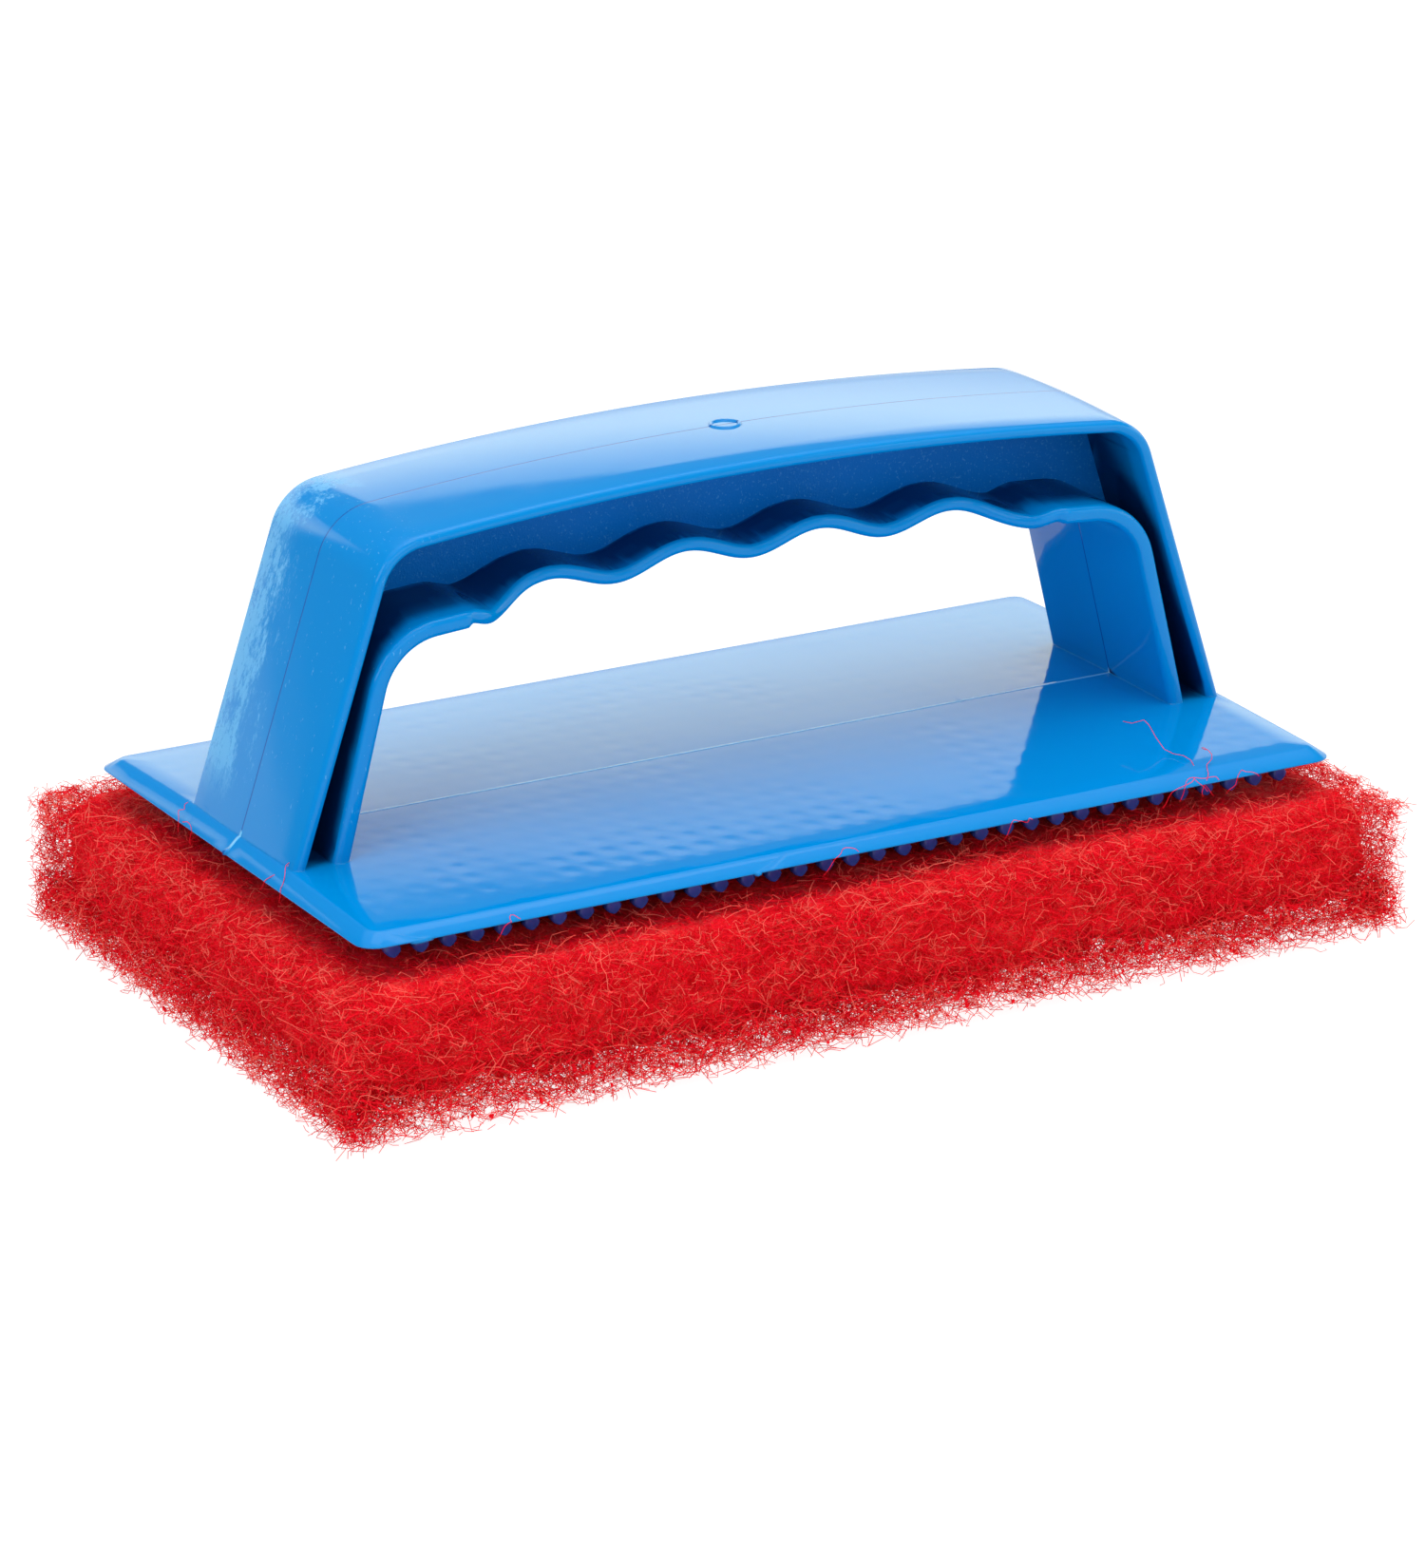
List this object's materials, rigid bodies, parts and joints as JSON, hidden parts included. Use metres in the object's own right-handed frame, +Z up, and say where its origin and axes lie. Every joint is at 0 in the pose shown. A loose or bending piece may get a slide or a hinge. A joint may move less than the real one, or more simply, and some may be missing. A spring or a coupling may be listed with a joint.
{
  "type": "hand scrub pad holder",
  "caption": "Hand scrubber for pool walls: a blue plastic plate with an arched finger-grip handle and anchor studs, pressed onto a thick red scouring pad.",
  "frame": {"origin": "middle of the pad's working face, which is the bottom of the whole object", "axes": "+Z up out of the handle, +X along the length, +Y across the width"},
  "size_m": [0.176, 0.104, 0.0779],
  "materials": {
    "holder_plastic": "glossy injection-moulded polypropylene, spark-textured inside the handle's recesses",
    "pad_fibre": "lofty non-woven of curled, resin-bonded fibres"
  },
  "bodies": {
    "pad": {"pad": "pad_fibre"},
    "holder": {"holder": "holder_plastic"}
  },
  "joints": [
    {"name": "holder_lift_off", "type": "slide", "parent": "pad", "child": "holder", "axis": [0, 0, 1], "range_m": [0, 0.04]}
  ]
}
